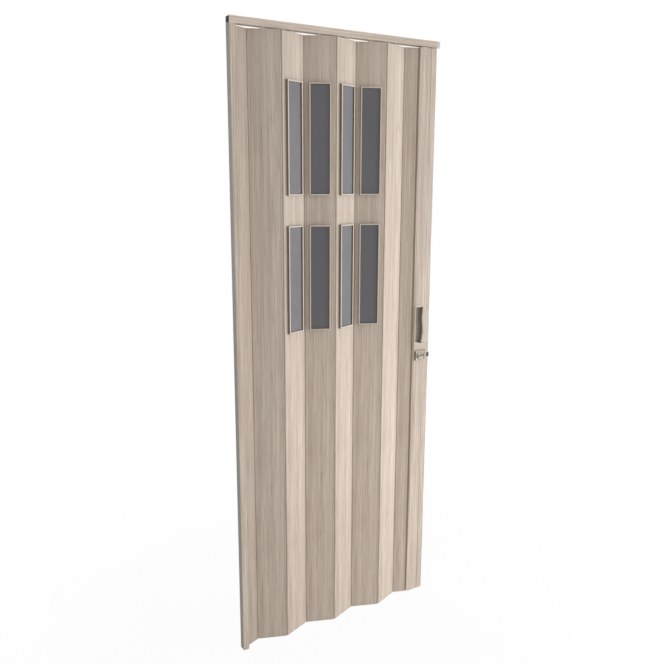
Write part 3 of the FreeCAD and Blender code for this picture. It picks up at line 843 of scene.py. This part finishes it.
def pullMesh():
    bm = bmesh.new()
    border, sunk = addCup(bm)
    near = surface["merge"]
    outline = [bm.verts.new((x, pull["face"], z)) for x, z in pullOutline()]
    edges = [bm.edges.new((a, b)) for a, b in zip(outline, outline[1:] + outline[:1])]
    bmesh.ops.triangle_fill(bm, edges=border + edges, normal=(0, -1, 0), use_beauty=True)
    skirt = bmesh.ops.extrude_edge_only(bm, edges=edges)["geom"]
    bmesh.ops.translate(bm, vec=(0, pull["thick"], 0), verts=vertsOf(skirt))
    outwards(bm)
    front = max(bm.faces, key=lambda f: f.calc_area() * (abs(f.normal.y) > surface["facing"]))
    if front.normal.y > 0:
        bmesh.ops.reverse_faces(bm, faces=bm.faces)
    foot = pull["face"] + pull["thick"] - near
    rims = {e for e in bm.edges if len(e.link_faces) == 2 and all(v.co.y < foot for v in e.verts)
            and any(all(v.co.y > foot or v in e.verts for v in f.verts) for f in e.link_faces)}
    lips = [e for e in bm.edges if e not in rims and len(e.link_faces) == 2
            and e.calc_face_angle() > surface["corner"]
            and all(abs(v.co.y - pull["face"]) < near for v in e.verts)]
    bevelEdges(bm, lips, pull["lip"], 3)
    bevelEdges(bm, [e for e in rims if e.is_valid], pull["rim"], 3)
    slopeLeft(bm, sunk)
    cleanFaces(bm)
    bmesh.ops.solidify(bm, geom=bm.faces, thickness=pull["wall"])
    return bm


def buildPulls():
    for node in ("finger_pull_front", "finger_pull_back"):
        bm = pullMesh()
        places = [(x, pull["face"] + screw["sunk"], z) for x, z in pull["screws"]]
        screws = screwSet(places, (0, -1, 0), pull["screwSize"], pull["screwTurns"])
        for mesh in (bm, screws):
            if node == "finger_pull_back":
                bmesh.ops.scale(mesh, vec=(1, -1, 1), verts=mesh.verts)
                bmesh.ops.reverse_faces(mesh, faces=mesh.faces)
        finishPiece(bm, node + "_moulded", ["pull"], nodes=[node])
        finishPiece(screws, node + "_screws", ["pullScrew"])


buildPulls()
print("stage: finger pulls built")

# Rim lock on the front, with a turn on each side
lock = {
    "axis": (0.7418646, 0.9797),     # X and Z of the spindle
    "caseFace": -0.016,
    "edge": 0.0003,
    "caseScrews": (0.0140, 0.0134),          # X and Z from the spindle
    "guideScrews": (0.7685, 0.0126),         # X, and Z from the spindle
    "roseScrews": 0.0134,                    # Z from the spindle
    # Each kind of screw's radius and height, and the degrees of the first and each next one
    "caseScrew": (0.0028, 0.0011), "caseTurns": (12, 31),
    "guideScrew": (0.0023, 0.0009), "guideTurns": (40, -25),
    "roseScrew": (0.0012, 0.0006), "roseTurns": (15, 50),
    "discRadius": 0.012, "discThick": 0.0025,
    # The disc's raised rim, as (share of the radius, metres under the top)
    "discRim": ((0, 0.0006), (0.70, 0.0006), (0.76, 0.0001), (0.82, 0), (0.92, 0),
                (0.97, 0.0003), (1, 0.0008)),
    "discSide": 0.4,                         # its faces that look less than this to the front, which get the bar's darker metal as painted shade
    "barLong": 0.026, "barWide": 0.006, "barHigh": 0.005, "barSunk": 0.0012, "barSlope": 11.0,
    "barWaist": 0.26, "barCrown": 0.10,      # how much narrower and lower the middle is
    "barEnds": 0.0026, "barTop": 0.0008,     # rounds of the bar
    "endFrom": 0.45, "topFrom": 0.3,         # shares of its length and height where they start
    "steps": {"disc": 48, "spindle": 24, "cam": 48, "pin": 16, "rose": 56},
    "turnGap": 0.0003,
    "spindle": 0.003,
    "cam": (0.009, -0.0145, -0.0133),        # radius, front and back
    "pin": (0.0015, 0.005, -0.0103),         # radius, place beside and over the spindle, back
    "roseRadius": 0.015, "roseThick": 0.002,
    "roseRim": ((0, 0.0008), (0.0003, 0.0003), (0.0009, 0)),   # metres inside and under the edge
    "roseGap": 0.0001,
    "postFace": 0.010,
}


# A round rod along Y between two places
def addRod(bm, x, z, radius, start, end, steps):
    profile = ((0, 0), (radius, 0), (radius, end - start), (0, end - start))
    turned(bm, profile, (x, start, z), (0, 1, 0), steps)


# A turn standing in front of y = face, on the front of the door
def addTurn(bm, face):
    x, z = lock["axis"]
    r, t = lock["discRadius"], lock["discThick"]
    profile = [(share * r, t - under) for share, under in lock["discRim"]] + [(r, 0), (0, 0)]
    turned(bm, profile, (x, face, z), (0, -1, 0), lock["steps"]["disc"])
    # painted shade: the disc's sides take the bar's darker metal
    for side in bm.faces:
        side.material_index = int(abs(side.normal.y) < lock["discSide"])
    bar = bmesh.new()
    tall = lock["barHigh"] + lock["barSunk"]
    bmesh.ops.create_cube(bar, size=1)
    bmesh.ops.subdivide_edges(bar, edges=bar.edges, cuts=3, use_grid_fill=True)
    for vert in bar.verts:
        along = abs(vert.co.x) * 2
        vert.co.z *= 1 - lock["barWaist"] * (1 - along ** 2)
        if vert.co.y < 0:
            vert.co.y *= 1 - lock["barCrown"] * (1 - along) ** 2
    bmesh.ops.scale(bar, vec=(lock["barLong"], tall, lock["barWide"]), verts=bar.verts)
    sharp = [e for e in bar.edges if e.calc_face_angle() > surface["corner"]]
    upright = [e for e in sharp if abs((e.verts[0].co - e.verts[1].co).y) > tall / 8]
    ends = [e for e in upright if abs(e.verts[0].co.x) > lock["endFrom"] * lock["barLong"]]
    bevelEdges(bar, ends, lock["barEnds"], 5)
    top = [e for e in bar.edges if len(e.link_faces) == 2
           and e.calc_face_angle() > surface["corner"]
           and all(v.co.y < -lock["topFrom"] * lock["barHigh"] for v in e.verts)]
    bevelEdges(bar, top, lock["barTop"], 3)
    cleanFaces(bar)
    # the whole bar in the darker metal, as painted shade
    for side in bar.faces:
        side.material_index = 1
    placed = Matrix.Translation((x, face - t + lock["barSunk"] - tall / 2, z))
    slope = Matrix.Rotation(math.radians(-lock["barSlope"]), 4, "Y")
    bmesh.ops.transform(bar, matrix=placed @ slope, verts=bar.verts)
    joinTo(bm, bar)


def buildLockScrews():
    x, z = lock["axis"]
    seat = lock["caseFace"] + screw["sunk"]
    right, up = lock["caseScrews"]
    places = [(x + side * right, seat, z + level * up) for level in (-1, 1) for side in (-1, 1)]
    screws = screwSet(places, (0, -1, 0), lock["caseScrew"], lock["caseTurns"])
    finishPiece(screws, "lock_case_screws", ["screw"])

    right, up = lock["guideScrews"]
    places = [(right, seat, z + level * up) for level in (-1, 1)]
    screws = screwSet(places, (0, -1, 0), lock["guideScrew"], lock["guideTurns"])
    finishPiece(screws, "bolt_guide_screws", ["screw"])

    seat = lock["postFace"] + lock["roseThick"] - screw["sunk"]
    places = [(x, seat, z + level * lock["roseScrews"]) for level in (-1, 1)]
    screws = screwSet(places, (0, 1, 0), lock["roseScrew"], lock["roseTurns"])
    finishPiece(screws, "lock_rose_screws", ["screw"])


def buildLock():
    x, z = lock["axis"]
    for node in ("lock_case", "bolt_guide"):
        bm = softenedCopy(node, lock["edge"])
        # painted shade: faces that look along X take the darker plate metal
        markEnds(bm, 0)
        finishPiece(bm, node + "_plated", ["plate", "plateSidePaintedShade"],
                    nodes=[node])
    bm = softenedCopy("lock_bolt", lock["edge"])
    finishPiece(bm, "lock_bolt_steel", ["bolt"],
                body="lock_bolt", nodes=["lock_bolt"])
    buildLockScrews()

    bm = bmesh.new()
    frontFace = lock["caseFace"] - lock["turnGap"]
    backFace = lock["postFace"] + lock["roseThick"] + lock["turnGap"]
    addTurn(bm, frontFace)
    addRod(bm, x, z, lock["spindle"], frontFace, backFace, lock["steps"]["spindle"])
    radius, camFront, camBack = lock["cam"]
    addRod(bm, x, z, radius, camFront, camBack, lock["steps"]["cam"])
    radius, beside, pinBack = lock["pin"]
    inCam = (camFront + camBack) / 2
    addRod(bm, x - beside, z + beside, radius, inCam, pinBack, lock["steps"]["pin"])
    outwards(bm)
    finishPiece(bm, "thumb_turn_front_cast", ["turn", "bar"],
                body="thumb_turn", nodes=["thumb_turn_front"])

    bm = bmesh.new()
    addTurn(bm, -backFace)
    bmesh.ops.scale(bm, vec=(1, -1, 1), verts=bm.verts)
    outwards(bm)
    finishPiece(bm, "thumb_turn_back_cast", ["turn", "bar"],
                body="thumb_turn", nodes=["thumb_turn_back"])

    bm = bmesh.new()
    r, t = lock["roseRadius"], lock["roseThick"]
    bore = lock["spindle"] + lock["roseGap"]
    rim = [(r - inside, t - under) for inside, under in lock["roseRim"]]
    profile = [(bore, 0), (r, 0), *rim, (bore, t), (bore, 0)]
    turned(bm, profile, (x, lock["postFace"], z), (0, 1, 0), lock["steps"]["rose"])
    outwards(bm)
    finishPiece(bm, "lock_rose_back_plated", ["plate"],
                nodes=["lock_rose_back"])


buildLock()
print("stage: lock built")

# Track and jamb trim: an end cap, a dark stop in the open end as painted shade in its hollow, and
# the fixing screws
trim = {
    "half": 0.0135, "bottom": 2.079, "top": 2.1, "wall": 0.0015, "slot": 0.005,
    "end": 0.7950646,
    "capLength": 0.012, "capProud": 0.0003,
    "shadeStop": (0.0012, 0.010), "foamGap": 0.0002, "foamRound": 0.0008,
    "trackScrews": (0.06, 0.28502, 0.51004, 0.73506),      # X
    "jambScrews": (0.15, 0.743, 1.336, 1.929),             # Z
    "jambOffset": -0.0065,
    "trackScrew": (0.0040, 0.0020), "trackTurns": (10, 37),
    "jambScrew": (0.0036, 0.0016), "jambTurns": (25, 41),
    "shank": 0.0003,        # how far the screws reach into their holes
}


# A bar along X between two places, from its section's corners as (y, z)
def barAlong(corners, start, end):
    bm = bmesh.new()
    verts = [bm.verts.new((start, y, z)) for y, z in corners]
    outline = [bm.edges.new(pair) for pair in zip(verts, verts[1:] + verts[:1])]
    face = bmesh.ops.contextual_create(bm, geom=outline)["faces"][0]
    grown = bmesh.ops.extrude_face_region(bm, geom=[face], use_keep_orig=True)["geom"]
    bmesh.ops.translate(bm, vec=(end - start, 0, 0), verts=vertsOf(grown))
    outwards(bm)
    return bm


def buildTrim():
    half, low, high, wall, slot = (trim[key] for key in ("half", "bottom", "top", "wall", "slot"))
    out = half + trim["capProud"]
    foot = low - trim["capProud"]
    section = [(-out, high), (-out, foot), (-slot, foot), (-slot, low), (-half, low), (-half, high)]
    cap = barAlong(section, trim["end"] - trim["capLength"], trim["end"])
    other = bmesh.ops.duplicate(cap, geom=everythingOf(cap))["geom"]
    bmesh.ops.scale(cap, vec=(1, -1, 1), verts=vertsOf(other))
    outwards(cap)
    finishPiece(cap, "track_end_cap", ["endCap"])

    # a dark block in the open end of the track, painted shade where its hollow lies in shade
    gap = trim["foamGap"]
    inside, top = half - wall - gap, high - wall - gap
    ledge, neck = low + wall + gap, slot - gap
    shadeStop = barAlong([(-inside, ledge), (-inside, top), (inside, top), (inside, ledge),
                     (neck, ledge), (neck, low), (-neck, low), (-neck, ledge)], *trim["shadeStop"])
    ends = [e for e in shadeStop.edges if e.calc_face_angle() > surface["corner"]
            and e.verts[0].co.x == e.verts[1].co.x]
    bevelEdges(shadeStop, ends, trim["foamRound"], 3)
    finishPiece(shadeStop, "track_stop_painted_shade", ["shadeStop"])

    places = [(x, 0, high - wall) for x in trim["trackScrews"]]
    screws = screwSet(places, (0, 0, -1), trim["trackScrew"], trim["trackTurns"], trim["shank"])
    finishPiece(screws, "track_screws", ["screw"])
    places = [(wall, trim["jambOffset"], z) for z in trim["jambScrews"]]
    screws = screwSet(places, (1, 0, 0), trim["jambScrew"], trim["jambTurns"], trim["shank"])
    finishPiece(screws, "jamb_screws", ["screw"])


buildTrim()
print("stage: trim and fixing screws built")

# Plain floor, white to the camera apart from the door's own soft shadow
studio = {
    "floorMiddle": (0.4, 0, 0), "floorDrop": 0.0004, "floorRadius": 9,
    "floorTone": (0.75, 0.74, 0.73, 1),
    "shadowShare": 0.05,
    "fadeStart": 0.7, "fadeEnd": 1.7,
    "fill": (0.515, 0.512, 0.509, 1),
    "lamps": {
        "keyLamp": {"side": 60, "rise": 0, "distance": 2.5, "wide": 1.6, "tall": 3.6,
                    "power": 68, "aim": (0.4, 0, 0.95)},
        "lowLamp": {"side": 55, "rise": 4, "distance": 1.3, "wide": 0.9, "tall": 0.3,
                    "power": 2.6, "aim": (0.4, 0, 0.1)},
        "leftLamp": {"side": -45, "rise": 5, "distance": 3.0, "wide": 1.2, "tall": 2.6,
                     "power": 10, "aim": (0.4, 0, 1.0)},
        "rearLamp": {"side": -170, "rise": 10, "distance": 3.4, "wide": 2.0, "tall": 2.4,
                     "power": 40, "aim": (0.4, 0, 1.05)},
    },
}


# 1 for the rays that see the background straight, mirrored or through a clear piece
def seesBackground(start):
    rays = start.node("ShaderNodeLightPath")
    outputs = rays.output.node.outputs
    names = ("Is Camera Ray", "Is Glossy Ray", "Is Transmission Ray")
    seen, mirrored, through = (Socket(rays.tree, outputs[name]) for name in names)
    return seen.maths("MAXIMUM", seen, seen.maths("MAXIMUM", mirrored, through))


def addStudio():
    world = bpy.data.worlds.new("paleStudio")
    scene.world = world
    world.use_nodes = True
    world.node_tree.nodes.clear()
    start = Socket(world.node_tree)
    sky = seesBackground(start).mix(studio["fill"], (1, 1, 1, 1))
    background = start.node("ShaderNodeBackground", None, {"Color": sky, "Strength": 1.0})
    start.node("ShaderNodeOutputWorld", None, {"Surface": background})

    material = bpy.data.materials.new("paleFloor")
    material.use_nodes = True
    material.node_tree.nodes.clear()
    point = Socket(material.node_tree).node("ShaderNodeTexCoord", output=3)
    centred = point.node("ShaderNodeVectorMath", {"operation": "SUBTRACT"}, {
        0: point, 1: studio["floorMiddle"]})
    away = centred.node("ShaderNodeVectorMath", {"operation": "LENGTH"}, {0: centred}, 1)
    near = away.node("ShaderNodeMapRange", {"interpolation_type": "SMOOTHSTEP"}, {
        "Value": away, "From Min": studio["fadeStart"], "From Max": studio["fadeEnd"],
        "To Min": 1.0, "To Max": 0.0})
    lit = point.node("ShaderNodeBsdfDiffuse", None, {"Color": studio["floorTone"]})
    white = point.node("ShaderNodeEmission", None, {"Color": (1, 1, 1, 1), "Strength": 1.0})
    paper = point.node("ShaderNodeMixShader", None, {
        0: near * studio["shadowShare"], 1: white, 2: lit})
    floor = point.node("ShaderNodeMixShader", None, {0: seesBackground(point), 1: lit, 2: paper})
    point.node("ShaderNodeOutputMaterial", None, {"Surface": floor})
    bm = bmesh.new()
    placed = Matrix.Translation(Vector(studio["floorMiddle"]) - Vector((0, 0, studio["floorDrop"])))
    bmesh.ops.create_circle(bm, cap_ends=True, segments=64, radius=studio["floorRadius"],
                            matrix=placed)
    mesh = bpy.data.meshes.new("floor")
    bm.to_mesh(mesh)
    bm.free()
    mesh.materials.append(material)
    made = bpy.data.objects.new("floor", mesh)
    scene.collection.objects.link(made)


# A soft rectangular lamp. Side is in degrees from straight in front, towards the lock.
def addLamp(name, values):
    data = bpy.data.lights.new(name, "AREA")
    data.shape = "RECTANGLE"
    data.size = values["wide"]
    data.size_y = values["tall"]
    data.energy = values["power"]
    side, rise = math.radians(values["side"]), math.radians(values["rise"])
    away = Vector((math.sin(side) * math.cos(rise), -math.cos(side) * math.cos(rise),
                   math.sin(rise)))
    lamp = bpy.data.objects.new(name, data)
    lamp.location = Vector(values["aim"]) + away * values["distance"]
    lamp.rotation_euler = (-away).to_track_quat("-Z", "Y").to_euler()
    lamp.visible_camera = False
    scene.collection.objects.link(lamp)


addStudio()
for lampName, lampValues in studio["lamps"].items():
    addLamp(lampName, lampValues)
print("stage: floor and lamps placed")
